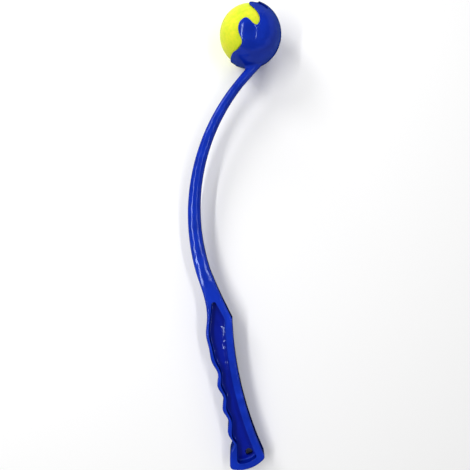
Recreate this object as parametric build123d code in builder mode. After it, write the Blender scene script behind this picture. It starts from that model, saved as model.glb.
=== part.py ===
"""Dog ball thrower: a one-piece moulded arm and grip with a fingered cup, and the ball it holds.

Lengths are in millimetres. The thrower is drawn flat, with the centre of the ball at the origin, the
mouth of the cup towards -X and the grip towards -Y, and is laid down on its side at the end.
"""
import os
from math import acos, asin, atan2, cos, degrees, hypot, radians, sin

from build123d import *

# ball
ball_radius = 32.0
felt_thickness = 3.0
core_wall = 3.5
seam_width = 2.0
seam_sink = 0.4
seam_fit = 0.02
seam_lean = 75.0
ball_turn = (-71.7, 49.4, -125.0)

# cup
ball_clearance = 0.3
finger_wall = 1.5
bowl_wall = 2.2
bowl_shift_forward = 0.3
bowl_shift_up = 0.45
layer_corner_round = 1.5
rim_round = 0.5

# arm
neck_root_across = 12.96
neck_root_below = 26.67
neck_root_angle = 48.0
neck_angle = 39.0
arm_bend_radius = 218.7
arm_end_angle = -17.0
arm_width_at_cup = 9.5
arm_width_at_grip = 15.4
arm_depth_at_cup = 10.0
arm_depth_at_grip = 13.0
arm_round_at_cup = 4.2
arm_stations = 6
neck_taper = 1.9
neck_round = 3.0

# grip, measured along its lean and across it, from the first ridge between the fingers
grip_depth = 22.0
grip_lean = 12.7
first_ridge_gap = 97.4
first_ridge_front = 11.55
finger_pitch = 25.3
finger_count = 4
finger_hollow = 3.3
trigger_bump_gap = 29.9
trigger_hollow_gap = 46.0
trigger_hollow = 4.6
throat_hollow = 6.0
shoulder_gap = 40.9
shoulder_width = 31.05
shoulder_round = 3.0
slope_sag = 0.9
back_radius = 382.0
butt_drop = 8.4
butt_width = 32.9
butt_round = 4.0
heel_bulge = 3.5
heel_drop = 12.4
heel_round = 4.5
edge_round = 2.2

# cored-out pocket on each side of the grip
web_thickness = 4.0
finger_rim = 3.3
ridge_rim = 4.0
back_rim = 7.6
butt_rim = 7.2
heel_rim = 8.0
pocket_tip_gap = 62.6
pocket_tip_front = 13.4
pocket_tip_width = 4.0
pocket_tip_round = 1.9
pocket_corner_round = 6.0
pocket_heel_round = 3.5
floor_round = 1.7
hang_hole_radius = 4.0
hang_hole_rise = 6.6
hang_hole_front = 16.9

overrun = 5.0

# edge of the cup's mouth seen from the side, from the top of the mid-plane, round an upper finger, a side
# finger and to the tip of the bottom finger, as shares of the cup's outer radius across and up
mouth_edge_shares = [
    (0.30, 1.00), (0.26, 0.86), (0.18, 0.785), (0.08, 0.81), (-0.01, 0.785), (-0.03, 0.70), (0.08, 0.53),
    (0.22, 0.33), (0.28, 0.08), (0.19, -0.06), (0.03, 0.03), (-0.13, 0.155), (-0.28, 0.085), (-0.365, -0.10),
    (-0.335, -0.30), (-0.255, -0.53), (-0.36, -0.665), (-0.53, -0.71), (-0.60, -0.78), (-0.50, -0.87),
]

# edge of the thicker layer over the back of the cup, in the same shares: an arc above the upper finger,
# then a line that stands back from the mouth and frames the root of the side finger
layer_arc_shares = [(0.28, 0.75), (0.42, 0.68), (0.55, 0.58)]
layer_edge_shares = [
    (0.50, 0.47), (0.38, 0.33), (0.335, 0.08), (0.27, -0.12), (0.175, -0.17), (0.148, -0.47),
    (-0.19, -0.47), (-0.20, -0.58), (-0.32, -0.73), (-0.44, -0.77),
]
arm_round_fade_share = 3

# places between the first ridge and the arm, as shares of that gap: the throat of the trigger finger's
# hollow, and where the grip starts to deepen and has its full depth
throat_share = 0.797
flare_start_share = 0.903
flare_end_share = 0.462

core_radius = ball_radius - felt_thickness
seam_radius = ball_radius - seam_sink
cup_inner = ball_radius + ball_clearance
cup_outer = cup_inner + finger_wall
bowl_outer = cup_inner + bowl_wall


def arm_centre(angle):
    """The middle of the arm at an angle of its bend, 0 where the arm stands upright."""
    root, bend = radians(neck_root_angle), radians(angle)
    return (
        neck_root_across + arm_bend_radius * (cos(root) - cos(bend)),
        -neck_root_below + arm_bend_radius * (sin(bend) - sin(root)),
    )


def arm_plane(angle):
    """The plane square to the arm, with its X towards the inside of the bend."""
    bend = radians(angle)
    across, up = arm_centre(angle)
    return Plane(origin=(across, up, 0), x_dir=(cos(bend), -sin(bend), 0), z_dir=(sin(bend), cos(bend), 0))


def lean_point(along, across):
    """A place on the grip, along its lean and across it, from the first ridge between the fingers."""
    lean = radians(grip_lean)
    start_across, start_up = arm_centre(arm_end_angle)
    along, across = along + first_ridge_gap, across - first_ridge_front
    return (
        start_across + along * sin(lean) + across * cos(lean),
        start_up - along * cos(lean) + across * sin(lean),
    )


def between(start, end, share):
    """A value that lies a share of the way from the start to the end."""
    return start + (end - start) * share


def arm_edge(side):
    """The end of the arm's outline where the grip takes over, on one side of its middle."""
    bend = radians(arm_end_angle)
    across, up = arm_centre(arm_end_angle)
    half = side * arm_width_at_grip / 2
    return (across + half * cos(bend), up - half * sin(bend))


# Ball: two rubber half shells under two felt panels, with a line of cement in the gap between them. It is
# made upright, and turned to its place in the cup at the end.
core_inner = core_radius - core_wall
seam_pole_lean = radians(seam_lean)
seam_spread = acos(-cos(seam_pole_lean) ** 2) / 2


def half_shell(inner, outer):
    """The upper half of a hollow sphere."""
    with BuildPart() as half:
        with BuildSketch(Plane.XZ):
            with BuildLine():
                outside = CenterArc((0, 0), outer, 90, 90)
                inside = CenterArc((0, 0), inner, 90, 90)
                Line(outside @ 0, inside @ 0)
                Line(outside @ 1, inside @ 1)
            make_face()
        revolve(axis=Axis.Z)
    return half


with BuildPart() as core_front_half:
    add(half_shell(core_inner, core_radius).part)

with BuildPart() as core_back_half:
    mirror(core_front_half.part, about=Plane.XY)

# The seam runs round four poles in turn. On the upper half it is part of a ring about each of two poles,
# and the lower half is the upper one turned over about the seam's crossing.
seam_middle = (core_radius + ball_radius) / 2
seam_cut_height = felt_thickness + overrun
seam_crossing = Axis((0, 0, 0), (1, 1, 0))


def seam_rings(width):
    """The two rings that the seam follows on the upper half."""
    with BuildPart() as rings:
        for way in (1, -1):
            pole = Vector(way * sin(seam_pole_lean), 0, cos(seam_pole_lean))
            ring_place = (seam_middle * cos(seam_spread), seam_middle * sin(seam_spread))
            with BuildSketch(Plane(origin=(0, 0, 0), x_dir=pole, z_dir=(0, 1, 0))):
                with Locations(Location(ring_place, degrees(seam_spread))):
                    Rectangle(seam_cut_height, width)
            revolve(axis=Axis((0, 0, 0), pole))
    return rings


with BuildPart() as felt_half:
    add(half_shell(core_radius, ball_radius).part)
    add(seam_rings(seam_width).part, mode=Mode.SUBTRACT)

left_lobe, bridge, right_lobe = felt_half.solids().sort_by(Axis.X)

with BuildPart() as felt_panel_front:
    add([left_lobe, right_lobe, bridge.rotate(seam_crossing, 180)])

with BuildPart() as felt_panel_back:
    add(felt_panel_front.part.rotate(seam_crossing, 180))

with BuildPart() as seam_half:
    add(half_shell(core_radius, seam_radius).part)
    add(seam_rings(seam_width - 2 * seam_fit).part, mode=Mode.INTERSECT)

with BuildPart() as seam_cement:
    add([seam_half.part, seam_half.part.rotate(seam_crossing, 180)])

# Cup: a thin fingered shell that the ball snaps into, with a thicker layer over its back that runs into
# the end of the arm. Each sphere is turned so that its poles lie clear of the mouth's edge.
cup_place = Plane(origin=(0, 0, 0), x_dir=(0, 1, 0), z_dir=(1, 0, 0))
layer_place = Plane(origin=(-bowl_shift_forward, bowl_shift_up, 0), x_dir=(0, 1, 0), z_dir=(1, 0, 0))
reach = bowl_outer + overrun


def cup_points(shares):
    """Places on the side view of the cup."""
    return [(cup_outer * across, cup_outer * up) for across, up in shares]


with BuildPart() as back_layer:
    with Locations(layer_place):
        Sphere(bowl_outer)
    for angle in (neck_angle, (neck_angle + neck_root_angle) / 2, neck_root_angle):
        taper = neck_taper if angle == neck_root_angle else 0
        with BuildSketch(arm_plane(angle)):
            RectangleRounded(arm_width_at_cup - taper, arm_depth_at_cup, arm_round_at_cup - taper / 2)
    loft()
    root_edges = faces().filter_by(GeomType.SPHERE)[0].edges().filter_by(GeomType.BSPLINE)
    fillet(root_edges, neck_round)
    layer_edge = cup_points(layer_edge_shares)
    with BuildSketch(Plane.XY.offset(-reach)):
        with BuildLine():
            arc = ThreePointArc(*cup_points(layer_arc_shares))
            top, foot = ((arc @ 0).X, reach), (layer_edge[-1][0], -reach)
            Polyline(arc @ 1, *layer_edge, foot, (-reach, -reach), (-reach, reach), top, arc @ 0)
        make_face()
        for corner in layer_edge[1:-1]:
            fillet(vertices().sort_by_distance(corner)[0], layer_corner_round)
    extrude(amount=2 * reach, mode=Mode.SUBTRACT)
    with Locations(cup_place):
        Sphere(cup_inner, mode=Mode.SUBTRACT)

with BuildPart() as ball_cup:
    with Locations(cup_place):
        Sphere(cup_outer)
        Sphere(cup_inner, mode=Mode.SUBTRACT)
    with BuildSketch(Plane.XY.offset(-reach)):
        with BuildLine():
            mouth_edge = Spline(*cup_points(mouth_edge_shares))
            top, foot = ((mouth_edge @ 0).X, reach), ((mouth_edge @ 1).X, -reach)
            Polyline(mouth_edge @ 1, foot, (-reach, -reach), (-reach, reach), top, mouth_edge @ 0)
        make_face()
    extrude(amount=2 * reach, mode=Mode.SUBTRACT)
    fillet(faces().filter_by(GeomType.SPHERE, reverse=True).edges(), rim_round)
    add(back_layer.part)

# Arm: a bar of rounded section on one steady bend, deeper and wider towards the grip.
with BuildPart() as throwing_arm:
    for station in range(arm_stations):
        share = station / (arm_stations - 1)
        with BuildSketch(arm_plane(between(neck_angle, arm_end_angle, share))):
            RectangleRounded(
                between(arm_width_at_cup, arm_width_at_grip, share),
                between(arm_depth_at_cup, arm_depth_at_grip, share),
                between(arm_round_at_cup, edge_round, share ** arm_round_fade_share),
            )
    loft()

# Grip: finger grooves along the front, a rounded back, and a pocket cored out of each side.
arm_down = arm_plane(arm_end_angle).z_dir * -1
butt_along = finger_pitch * finger_count + butt_drop
side_reach = first_ridge_gap + butt_along + overrun
grip_side = Plane(
    origin=(*lean_point(0, 0), 0),
    x_dir=(sin(radians(grip_lean)), -cos(radians(grip_lean)), 0),
    z_dir=(cos(radians(grip_lean)), sin(radians(grip_lean)), 0),
)
valleys = [finger_pitch * finger + finger_pitch / 2 for finger in range(finger_count)]
ridges = [finger_pitch * (finger + 1) for finger in range(finger_count - 1)]


def grooves(valley_depth, ridge_depth):
    """The finger grooves from the first valley to the last, at depths from the line of the ridges."""
    places = [(along, valley_depth) for along in valleys] + [(along, ridge_depth) for along in ridges]
    return [lean_point(*place) for place in sorted(places)]


def lower_meeting(one, one_radius, two, two_radius):
    """The lower of the two places where two circles meet."""
    line = two - one
    along = (line.length ** 2 + one_radius ** 2 - two_radius ** 2) / (2 * line.length)
    aside = (one_radius ** 2 - along ** 2) ** (1 / 2)
    middle = one + line.normalized() * along
    square = line.normalized().rotate(Axis.Z, 90) * aside
    return min(middle + square, middle - square, key=lambda place: place.Y)


with BuildPart() as grip_handle:
    with BuildSketch(Plane.XY.offset(-grip_depth / 2)):
        with BuildLine():
            heel = lean_point(finger_pitch * finger_count, -heel_bulge)
            front = Spline(
                arm_edge(-1),
                lean_point(-first_ridge_gap * throat_share, throat_hollow),
                lean_point(-trigger_hollow_gap, trigger_hollow),
                lean_point(-trigger_bump_gap, 0),
                lean_point(-trigger_bump_gap / 2, 0),
                lean_point(0, 0),
                *grooves(finger_hollow, 0),
                heel,
                tangents=[arm_down, (0, -1)],
            )
            heel_line = Line(front @ 1, (heel[0], heel[1] - heel_drop))
            butt_corner = lean_point(butt_along, butt_width)
            butt_middle = ((heel[0] + butt_corner[0]) / 2, heel[1] - heel_drop)
            butt = ThreePointArc(heel_line @ 1, butt_middle, butt_corner)
            back = RadiusArc(butt @ 1, lean_point(-shoulder_gap, shoulder_width), back_radius)
            slope_middle = (back @ 1 + Vector(*arm_edge(1))) / 2 - Vector(slope_sag, 0)
            slope = Spline(back @ 1, slope_middle, arm_edge(1))
            Line(slope @ 1, front @ 0)
        make_face()
        corners = ((heel_line @ 1, heel_round), (butt @ 1, butt_round), (back @ 1, shoulder_round))
        for corner, size in corners:
            fillet(vertices().sort_by_distance(corner)[0], size)
    extrude(amount=grip_depth)
    with BuildSketch(grip_side):
        with BuildLine():
            flare_start = -first_ridge_gap * flare_start_share
            flare_end = -first_ridge_gap * flare_end_share
            flat = Line((-side_reach, arm_depth_at_grip / 2), (flare_start, arm_depth_at_grip / 2))
            full = Line((flare_end, grip_depth / 2), (side_reach, grip_depth / 2))
            Spline(flat @ 1, full @ 0, tangents=[(1, 0), (1, 0)])
            Polyline(flat @ 0, (-side_reach, 0), (side_reach, 0), full @ 1)
        make_face()
        mirror(about=Plane.XZ)
    extrude(amount=side_reach, both=True, mode=Mode.INTERSECT)
    joint_face = faces().sort_by(Axis.Y)[-1]
    fillet(edges().filter_by(Axis.Z, reverse=True) - joint_face.edges(), edge_round)

with BuildPart() as pocket:
    with BuildSketch(Plane.XY.offset(web_thickness / 2)):
        with BuildLine():
            pocket_front = Spline(
                lean_point(-pocket_tip_gap, pocket_tip_front),
                lean_point(-trigger_hollow_gap, trigger_hollow + finger_rim),
                lean_point(-trigger_bump_gap, finger_rim),
                lean_point(-trigger_bump_gap / 2, finger_rim),
                lean_point(0, ridge_rim),
                *grooves(finger_hollow + finger_rim, ridge_rim),
            )
            end_radius, side_radius = butt.radius - butt_rim, back_radius + back_rim
            heel_across = heel[0] + heel_rim
            heel_fall = (end_radius ** 2 - (heel_across - butt.arc_center.X) ** 2) ** (1 / 2)
            pocket_heel = Vector(heel_across, butt.arc_center.Y - heel_fall)
            pocket_end = lower_meeting(back.arc_center, side_radius, butt.arc_center, end_radius)
            pocket_corner = back.arc_center + (back @ 1 - back.arc_center).normalized() * side_radius
            tip_back = Vector(*lean_point(-pocket_tip_gap, pocket_tip_front + pocket_tip_width))
            Line(pocket_front @ 1, pocket_heel)
            RadiusArc(pocket_heel, pocket_end, -end_radius)
            RadiusArc(pocket_end, pocket_corner, side_radius)
            Polyline(pocket_corner, tip_back, pocket_front @ 0)
        make_face()
        pocket_rounds = (
            (pocket_heel, pocket_heel_round),
            (pocket_end, pocket_heel_round),
            (pocket_corner, pocket_corner_round),
            (tip_back, pocket_tip_round),
            (pocket_front @ 0, pocket_tip_round),
        )
        for corner, size in pocket_rounds:
            fillet(vertices().sort_by_distance(corner)[0], size)
    extrude(amount=grip_depth)
    fillet(faces().sort_by(Axis.Z)[0].edges(), floor_round)

with grip_handle:
    add(pocket.part, mode=Mode.SUBTRACT)
    mirror(pocket.part, about=Plane.XY, mode=Mode.SUBTRACT)
    with Locations(lean_point(butt_along - hang_hole_rise, hang_hole_front)):
        Hole(hang_hole_radius)

thrower_pieces = {"ball_cup": ball_cup, "throwing_arm": throwing_arm, "grip_handle": grip_handle}
ball_pieces = {
    "core_front_half": core_front_half,
    "core_back_half": core_back_half,
    "felt_panel_front": felt_panel_front,
    "felt_panel_back": felt_panel_back,
    "seam_cement": seam_cement,
}
for piece in ball_pieces.values():
    piece.part.move(Location((0, 0, 0), ball_turn))
pieces = thrower_pieces | ball_pieces

# Lay the thrower on its side: the cup is deeper than the grip, so the grip's end dips to the same surface.
lever, drop = -butt_middle[1] - edge_round, grip_depth / 2 - edge_round
tilt = asin((cup_outer - edge_round) / hypot(lever, drop)) - atan2(drop, lever)
tipped = Location((0, 0, 0), (degrees(tilt), 0, 0))
box = Compound(children=[piece.part.moved(tipped) for piece in pieces.values()]).bounding_box()
rest = Location((-box.center().X, -box.center().Y, -box.min.Z)) * tipped

os.makedirs("parts", exist_ok=True)
for name, piece in pieces.items():
    piece.part.move(rest)
    piece.part.label = name
    export_step(piece.part, f"parts/{name}.step")
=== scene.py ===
"""Dog ball thrower lying on a pale surface, seen from above and a little towards the grip's end."""
from math import cos, hypot, radians, sin

import bmesh
import bpy
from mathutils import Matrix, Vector, noise


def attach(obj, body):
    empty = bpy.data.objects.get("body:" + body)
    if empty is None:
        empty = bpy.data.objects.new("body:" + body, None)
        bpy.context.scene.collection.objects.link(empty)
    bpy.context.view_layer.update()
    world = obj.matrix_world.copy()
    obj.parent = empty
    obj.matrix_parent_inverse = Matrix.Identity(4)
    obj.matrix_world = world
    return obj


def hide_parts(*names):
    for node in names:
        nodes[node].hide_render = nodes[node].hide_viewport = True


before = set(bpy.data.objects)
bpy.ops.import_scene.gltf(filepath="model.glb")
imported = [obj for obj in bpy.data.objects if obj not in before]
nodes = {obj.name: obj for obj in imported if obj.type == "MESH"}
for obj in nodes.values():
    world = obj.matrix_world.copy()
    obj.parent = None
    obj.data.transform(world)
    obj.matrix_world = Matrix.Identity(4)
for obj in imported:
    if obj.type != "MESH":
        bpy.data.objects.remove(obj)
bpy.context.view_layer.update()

# Camera: level with the thrower's own mid-plane, which dips a little towards the grip because the cup is
# deeper than the grip. It stands over the middle of the arm, close enough to stretch the two ends.
mid_plane_tip = radians(2.84)
ball_centre = Vector((0.01604, 0.21508, 0.03386))
across_way = Vector((1, 0, 0))
along_way = Vector((0, cos(mid_plane_tip), sin(mid_plane_tip)))
above_way = Vector((0, -sin(mid_plane_tip), cos(mid_plane_tip)))

camera_data = bpy.data.cameras.new("camera")
camera_data.lens = 37.6
camera_data.sensor_width = 36
camera = bpy.data.objects.new("camera", camera_data)
camera.location = ball_centre - 0.0156 * across_way - 0.2149 * along_way + 0.5288 * above_way
camera.rotation_euler = (mid_plane_tip, 0, 0)
bpy.context.scene.collection.objects.link(camera)
bpy.context.scene.camera = camera


# Surface: a matt white studio table, wide enough to fill the picture. Near the thrower it is lit and
# shadowed as it lies, and further out it fades to the plain white that camera and gloss see all round.
def node_maker(tree):
    """A maker of linked nodes in a node tree, which it empties first."""
    tree.nodes.clear()

    def node(kind, links=None, **settings):
        made = tree.nodes.new(kind)
        for key, value in settings.items():
            setattr(made, key, value)
        for socket, value in (links or {}).items():
            if isinstance(value, bpy.types.NodeSocket):
                tree.links.new(value, made.inputs[socket])
            else:
                made.inputs[socket].default_value = value
        return made

    return node


def new_material(name):
    """An empty node material, and a maker of its linked nodes."""
    material = bpy.data.materials.new(name)
    material.use_nodes = True
    return material, node_maker(material.node_tree)


def reckon(kind, one, two):
    """One step of arithmetic on two values, such as MULTIPLY."""
    return node("ShaderNodeMath", {0: one, 1: two}, operation=kind).outputs[0]


def times(one, two):
    """The product of two values."""
    return reckon("MULTIPLY", one, two)


def plus(one, two):
    """The sum of two values."""
    return reckon("ADD", one, two)


def fade(value, start, end):
    """A smooth share, 0 before the start and 1 past the end."""
    share = node("ShaderNodeMapRange", {"Value": value, "From Min": start, "From Max": end},
                 interpolation_type="SMOOTHSTEP")
    return share.outputs["Result"]


def white_seen():
    """1 for the rays that see a white studio: from the camera, off gloss and through glass."""
    path = node("ShaderNodeLightPath").outputs
    kinds = plus(plus(path["Is Camera Ray"], path["Is Glossy Ray"]), path["Is Transmission Ray"])
    return reckon("MINIMUM", kinds, 1)


table_white, node = new_material("table_white")
matt = node("ShaderNodeBsdfDiffuse", {"Color": (0.95, 0.95, 0.95, 1)})
spot = node("ShaderNodeTexCoord").outputs["Object"]
from_middle = node("ShaderNodeVectorMath", {0: spot}, operation="LENGTH").outputs["Value"]
plain = node("ShaderNodeEmission", {"Color": (1, 1, 1, 1), "Strength": 1})
both = node("ShaderNodeMixShader", {0: times(fade(from_middle, 0.35, 1), white_seen()),
                                    1: matt.outputs[0], 2: plain.outputs[0]})
node("ShaderNodeOutputMaterial", {"Surface": both.outputs[0]})

bpy.ops.mesh.primitive_plane_add(size=8, location=(0, 0, 0))
table = bpy.context.object
table.name = "studio_table"
table.data.materials.append(table_white)


# Light: two long strips, left and right of the camera, draw the thin bright lines down the cup and the
# arm. Two softboxes stand beyond the cup's mouth, where only the felt faces them.
def softbox(name, place, width, height, watts):
    """A rectangular area light aimed at the middle of the thrower."""
    data = bpy.data.lights.new(name, "AREA")
    data.shape, data.size, data.size_y, data.energy = "RECTANGLE", width, height, watts
    light = bpy.data.objects.new(name, data)
    light.location = place
    light.rotation_euler = (-Vector(place)).to_track_quat("-Z", "Y").to_euler()
    bpy.context.scene.collection.objects.link(light)


softbox("left_strip", (-0.62, 0.06, 1.1), 1.18, 0.06, 7)
softbox("right_strip", (0.46, 0.06, 1.1), 1.18, 0.06, 3.5)
softbox("left_box", (-0.91, 1.0, 0.92), 0.5, 0.5, 8)
softbox("head_box", (-0.12, 1.52, 0.53), 1.4, 0.3, 8)

world = bpy.data.worlds.new("studio")
bpy.context.scene.world = world
world.use_nodes = True
node = node_maker(world.node_tree)
way_out = node("ShaderNodeTexCoord").outputs["Generated"]
skyward = node("ShaderNodeSeparateXYZ", {0: way_out}).outputs["Z"]
sky_light = 0.3
level = plus(sky_light, times(1 - sky_light, times(fade(skyward, 0.36, 0.2), white_seen())))
air = node("ShaderNodeBackground", {"Color": (1, 1, 1, 1), "Strength": level})
node("ShaderNodeOutputWorld", {"Surface": air.outputs[0]})
bpy.context.scene.view_settings.view_transform = "Standard"


# Thrower: one piece of glossy blue polypropylene, moulded in a polished tool. It is a little clear, so it
# looks deeper blue the more it turns away, which a tinted coat of index 1 stands for. Fine scratches cross
# its skin, and its corners are rubbed paler by use.
def clouds(place, scale, detail, **more):
    """Cloudy noise, from 0 to 1, with so many clouds to a metre."""
    links = {"Vector": place, "Scale": scale, "Detail": detail, **more}
    return node("ShaderNodeTexNoise", links).outputs["Fac"]


def spread(value, start, end, low=0, high=1):
    """A share of the way from start to end, laid out from low to high."""
    links = {"Value": value, "From Min": start, "From Max": end, "To Min": low, "To Max": high}
    return node("ShaderNodeMapRange", links).outputs["Result"]


def ramp(share, low, high, start=0, end=1):
    """A colour between two, for a share from start to end."""
    made = node("ShaderNodeValToRGB", {"Fac": share})
    for stop, position, colour in zip(made.color_ramp.elements, (start, end), (low, high)):
        stop.position, stop.color = position, (*colour, 1)
    return made.outputs["Color"]


def mix(share, one, two):
    """One colour with a share of another, a plain one, over it."""
    return node("ShaderNodeMixRGB", {"Fac": share, "Color1": one, "Color2": (*two, 1)}).outputs["Color"]


def bump(height, strength, distance, **under):
    """The normal that a height gives, over another normal if one is given."""
    links = {"Height": height, "Strength": strength, "Distance": distance, **under}
    return node("ShaderNodeBump", links).outputs["Normal"]


def close_material(sockets):
    """The shader that closes a material, with what feeds its sockets."""
    body = node("ShaderNodeBsdfPrincipled", sockets)
    node("ShaderNodeOutputMaterial", {"Surface": body.outputs["BSDF"]})


def cover(material, *names):
    """Put a material on the named nodes, in the place of what they have."""
    for name in names:
        nodes[name].data.materials.clear()
        nodes[name].data.materials.append(material)


own_ways = (across_way, along_way, above_way)
plastic, node = new_material("blue_polypropylene")
place = node("ShaderNodeTexCoord").outputs["Object"]
own = node("ShaderNodeMapping", {"Vector": place, "Rotation": (-mid_plane_tip, 0, 0),
                                 "Location": [-ball_centre.dot(way) for way in own_ways]}).outputs["Vector"]
own_parts = node("ShaderNodeSeparateXYZ", {"Vector": own}).outputs
up_thrower = own_parts["Y"]
off_mid_plane = node("ShaderNodeMath", {0: own_parts["Z"]}, operation="ABSOLUTE").outputs[0]
flat = node("ShaderNodeNewGeometry").outputs["Normal"]
facing = node("ShaderNodeVectorMath", {0: flat, 1: above_way}, operation="DOT_PRODUCT").outputs["Value"]
web = times(fade(off_mid_plane, 0.0035, 0.0025), fade(times(facing, facing), 0.6, 0.9))

flow = clouds(place, 38, 3, Distortion=1.2)
tone = ramp(flow, (0.004, 0.033, 0.42), (0.012, 0.06, 0.66), 0.3, 0.75)
# The web, the floor of the grip's recess, is painted a darker blue: painted shade, standing in for the shade
# that the recess walls cast on it.
tone_with_painted_shade = mix(times(web, 0.7), tone, (0.002, 0.005, 0.34))

corner = node("ShaderNodeBevel", {"Radius": 0.0005}, samples=6).outputs["Normal"]
turn = node("ShaderNodeVectorMath", {0: corner, 1: flat}, operation="DOT_PRODUCT").outputs["Value"]
scuffs = clouds(place, 140, 6, Roughness=0.7)
worn = times(spread(turn, 0.995, 0.85), scuffs)
colour = mix(worn, tone_with_painted_shade, (0.04, 0.09, 0.56))

stretch = node("ShaderNodeMapping", {"Vector": place, "Rotation": (0.3, 0.2, 0.6), "Scale": (900, 40, 900)})
scratch = clouds(stretch.outputs["Vector"], 1, 2)
rough = plus(spread(scuffs, 0.35, 0.75, 0.06, 0.15), spread(scratch, 0.68, 0.8, 0, 0.12))


# Relief of that skin: slow ripples where the melt shrank run over all of it, and the web dips where it meets
# the grip's thick back. The grip's root takes on the last of the arm's crown, which is made below.
def arc_gap(centre, radius):
    """How far outside a circle in the thrower's mid-plane a point is."""
    flat_place = node("ShaderNodeVectorMath", {0: own, 1: (1, 1, 0)}, operation="MULTIPLY").outputs["Vector"]
    reach = node("ShaderNodeVectorMath", {0: flat_place, 1: (*centre, 0)}, operation="DISTANCE")
    return reckon("SUBTRACT", reach.outputs["Value"], radius)


bend_centre, bend_radius = (0.1593, -0.1892), 0.2187
crown_slope, crown_round = 0.29, 0.002
crown_grows, crown_ends, root_crown = (-0.06, -0.16), (-0.245, -0.2), (-0.31, -0.25)
aside = arc_gap(bend_centre, bend_radius)
crown = reckon("POWER", plus(times(aside, aside), crown_round ** 2), 0.5)
at_root = plus(fade(up_thrower, *root_crown), times(fade(up_thrower, *crown_ends), -1))
crown = times(times(crown, -crown_slope), times(at_root, fade(up_thrower, *crown_grows)))

back_centre, back_radius = (0.36336, -0.29035), 0.3896
dip_depth, dip_ripple, skin_ripple = 0.00087, 0.0009, 0.0007
dip_butt_end, dip_throat_end = (-0.42, -0.395), (-0.3, -0.32)
to_back = spread(arc_gap(back_centre, back_radius), 0.0048, 0.0014)
drawn = node("ShaderNodeMapping", {"Vector": place, "Scale": (115, 75, 115), "Location": (7, 4, 9)})
chatter = clouds(drawn.outputs["Vector"], 1, 1)
dip = times(plus(times(to_back, dip_depth), times(chatter, dip_ripple)),
            times(fade(up_thrower, *dip_butt_end), fade(up_thrower, *dip_throat_end)))
relief = plus(plus(crown, times(dip, web)), times(clouds(place, 70, 1), skin_ripple))
sink = bump(relief, 1, 1, Normal=corner)
grain = bump(clouds(place, 900, 4), 0.08, 0.0001, Normal=sink)
close_material({"Base Color": colour, "IOR": 1.49, "Specular IOR Level": 0.33, "Roughness": rough,
                "Coat Weight": 1, "Coat IOR": 1, "Coat Tint": (0.5, 0.62, 0.8, 1), "Normal": grain})
cover(plastic, "ball_cup", "throwing_arm", "grip_handle")


# Arm: part of the same moulding, with its broad faces crowned about the bend, so that its section is nearer
# to round. The crown runs out before both ends, which meet the cup and the grip as they are.
def smooth_share(value, start, end):
    """0 before the start and 1 past the end, as fade gives in a material."""
    share = min(max((value - start) / (end - start), 0), 1)
    return share * share * (3 - 2 * share)


def own_copy(node_name, name):
    """A CAD node's copy with a mesh of its own, to be worked on and shown in its place."""
    made = nodes[node_name].copy()
    made.data = nodes[node_name].data.copy()
    made.name = name
    bpy.context.scene.collection.objects.link(made)
    return made


def split_finer(skin, longest):
    """Halve the long edges of a mesh of triangles, at most one of each triangle a round."""
    while True:
        skin.faces.index_update()
        beside_split, split = set(), []
        for edge in sorted(skin.edges, key=lambda one: -one.calc_length()):
            beside = {face.index for face in edge.link_faces}
            if edge.calc_length() > longest and not beside & beside_split:
                beside_split |= beside
                split.append(edge)
        if not split:
            return
        halved = bmesh.ops.subdivide_edges(skin, edges=split, cuts=1)["geom_inner"]
        for middle in [part for part in halved if isinstance(part, bmesh.types.BMVert)]:
            for face in list(middle.link_faces):
                at_middle = next(loop for loop in face.loops if loop.vert is middle)
                bmesh.utils.face_split(face, middle, at_middle.link_loop_next.link_loop_next.vert)


crowned_arm = own_copy("throwing_arm", "crowned_arm")
if crowned_arm.data.attributes.get("custom_normal"):
    crowned_arm.data.attributes.remove(crowned_arm.data.attributes["custom_normal"])
skin = bmesh.new()
skin.from_mesh(crowned_arm.data)
bmesh.ops.remove_doubles(skin, verts=skin.verts, dist=1e-6)
split_finer(skin, longest=0.0012)
cup_end, cup_end_half_depth, half_depth_growth = -0.05, 0.005, 0.0075
for vertex in skin.verts:
    across, along, above = ((vertex.co - ball_centre).dot(way) for way in own_ways)
    aside_by = hypot(across - bend_centre[0], along - bend_centre[1]) - bend_radius
    half_depth = cup_end_half_depth + half_depth_growth * (cup_end - along)
    crowned = smooth_share(along, *crown_grows) * smooth_share(along, *crown_ends)
    lowered = crown_slope * (hypot(aside_by, crown_round) - crown_round) * crowned
    vertex.co -= above_way * above * lowered / half_depth
for edge in skin.edges:
    edge.smooth = len(edge.link_faces) == 2 and edge.calc_face_angle() < radians(35)
for face in skin.faces:
    face.smooth = True
skin.to_mesh(crowned_arm.data)
skin.free()
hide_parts("throwing_arm")
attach(crowned_arm, "thrower")

# Ball core: two half shells of black rubber, cemented at their equator. The felt hides them, and only a
# cut ball shows them.
rubber, node = new_material("core_rubber")
dust = clouds(node("ShaderNodeTexCoord").outputs["Object"], 500, 5)
close_material({"Base Color": ramp(dust, (0.012, 0.012, 0.013), (0.045, 0.043, 0.04)), "Roughness": 0.75,
                "Normal": bump(dust, 0.3, 0.0003)})
cover(rubber, "core_front_half", "core_back_half")

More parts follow.
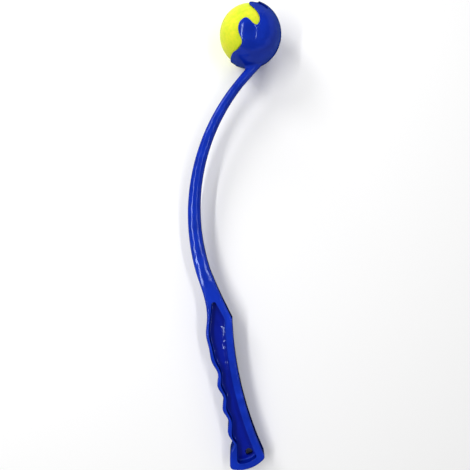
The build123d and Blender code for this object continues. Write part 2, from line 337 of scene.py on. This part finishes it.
# Seam: the vulcanised cement in the gap between the felt panels, a dull olive rubber with loose fibres
# of felt stuck to it.
cement, node = new_material("seam_cement")
lumps = clouds(node("ShaderNodeTexCoord").outputs["Object"], 700, 4)
close_material({"Base Color": ramp(lumps, (0.10, 0.10, 0.035), (0.30, 0.29, 0.12)), "Roughness": 0.8,
                "Normal": bump(lumps, 0.5, 0.0004)})
cover(cement, "seam_cement")

# Felt panels: two bone-shaped pieces of needled wool and nylon felt, cemented to the core. The nap stands
# up in soft lumps, and each cut edge rolls down into the seam.
felt, node = new_material("yellow_felt")
place = node("ShaderNodeTexCoord").outputs["Object"]
clumps = clouds(place, 260, 5, Roughness=0.65)
fibres = clouds(place, 2400, 4, Distortion=2.5)
patches = clouds(place, 60, 2)
yellow = ramp(times(plus(clumps, patches), 0.5), (0.54, 0.71, 0.006), (0.80, 0.77, 0.018), 0.35, 0.65)
nap = bump(clumps, 0.5, 0.0006)
close_material({"Base Color": yellow, "Roughness": 0.95, "Sheen Weight": 0.15, "Sheen Roughness": 0.4,
                "Normal": bump(fibres, 0.5, 0.0002, Normal=nap)})


def napped_panel(name, node_name):
    """A felt panel remeshed fine enough for its edges to roll and its nap to stand in lumps."""
    panel = own_copy(node_name, name)
    panel.data.materials.clear()
    remesh = panel.modifiers.new("remesh", "REMESH")
    remesh.mode, remesh.voxel_size, remesh.use_smooth_shade = "VOXEL", 0.0006, True
    smooth = panel.modifiers.new("smooth", "SMOOTH")
    smooth.factor, smooth.iterations = 0.5, 4
    made = bpy.data.meshes.new_from_object(panel.evaluated_get(bpy.context.evaluated_depsgraph_get()))
    panel.modifiers.clear()
    panel.data = made
    outer_side, lump_height, lump_sink = 0.0305, 0.00012, 0.00005
    for vertex in made.vertices:
        out = vertex.co - ball_centre
        if out.length > outer_side:
            lump = noise.noise(vertex.co * 900) + 0.5 * noise.noise(vertex.co * 2100)
            vertex.co += out.normalized() * (lump_height * lump - lump_sink)
    made.materials.append(felt)
    made.shade_smooth()
    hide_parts(node_name)
    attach(panel, "ball")


napped_panel("felt_nap_front", "felt_panel_front")
napped_panel("felt_nap_back", "felt_panel_back")
